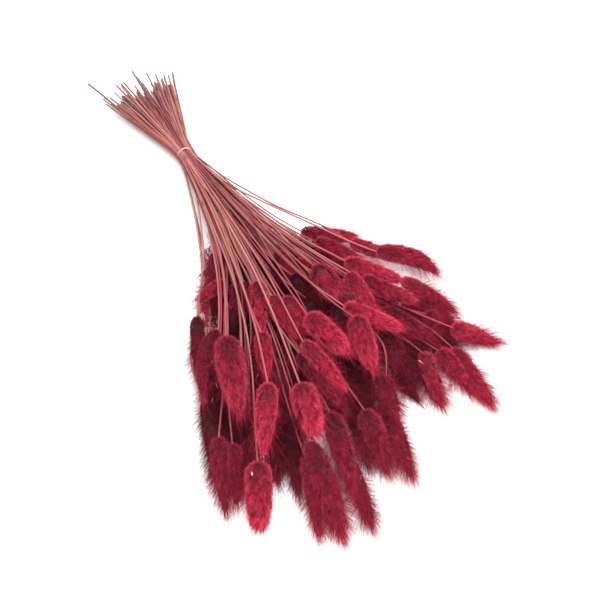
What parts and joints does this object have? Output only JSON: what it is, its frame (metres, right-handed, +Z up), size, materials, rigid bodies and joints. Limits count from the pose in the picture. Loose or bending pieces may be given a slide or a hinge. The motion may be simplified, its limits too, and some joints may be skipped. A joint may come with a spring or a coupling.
{
  "type": "dried bunny tail grass bunch",
  "caption": "Tied bunch of dried grass lying on a surface: slim stems gathered at a waist, cut ends fanned behind, soft ovoid seed heads fanned in front.",
  "frame": {"origin": "on the surface that the bunch lies on, under the middle of its box", "axes": "+X from the cut ends to the seed heads, along the bunch; +Y to the left seen from the cut ends; +Z up"},
  "size_m": [0.5398, 0.24, 0.049],
  "materials": {
    "stem": "dry straw, dyed dusty rose, faintly glossy along the stalk",
    "tie": "thin pale pink elastic band",
    "head": "dense velvety fuzz of fine dyed crimson hairs with long wispy awns"
  },
  "bodies": {
    "root": {"head_02": "head", "head_03": "head", "head_04": "head", "head_05": "head", "head_08": "head", "head_11": "head", "head_13": "head", "head_14": "head", "head_15": "head", "head_17": "head", "head_21": "head", "head_24": "head", "head_25": "head", "head_27": "head", "head_32": "head", "head_33": "head", "head_35": "head", "head_36": "head", "head_37": "head", "head_38": "head", "head_39": "head", "head_40": "head", "head_41": "head", "head_42": "head", "head_44": "head", "head_45": "head", "head_46": "head", "head_47": "head", "head_48": "head", "head_49": "head", "head_50": "head", "head_53": "head", "head_54": "head", "head_58": "head", "heads_01": "head", "heads_06": "head", "heads_07": "head", "heads_09": "head", "heads_10": "head", "heads_12": "head", "heads_16": "head", "heads_18": "head", "heads_19": "head", "heads_20": "head", "heads_22": "head", "heads_23": "head", "heads_26": "head", "heads_28": "head", "heads_29": "head", "heads_30": "head", "heads_31": "head", "heads_34": "head", "heads_43": "head", "heads_51": "head", "heads_52": "head", "heads_55": "head", "heads_56": "head", "heads_57": "head", "stems": "stem", "tie": "tie"}
  },
  "joints": []
}
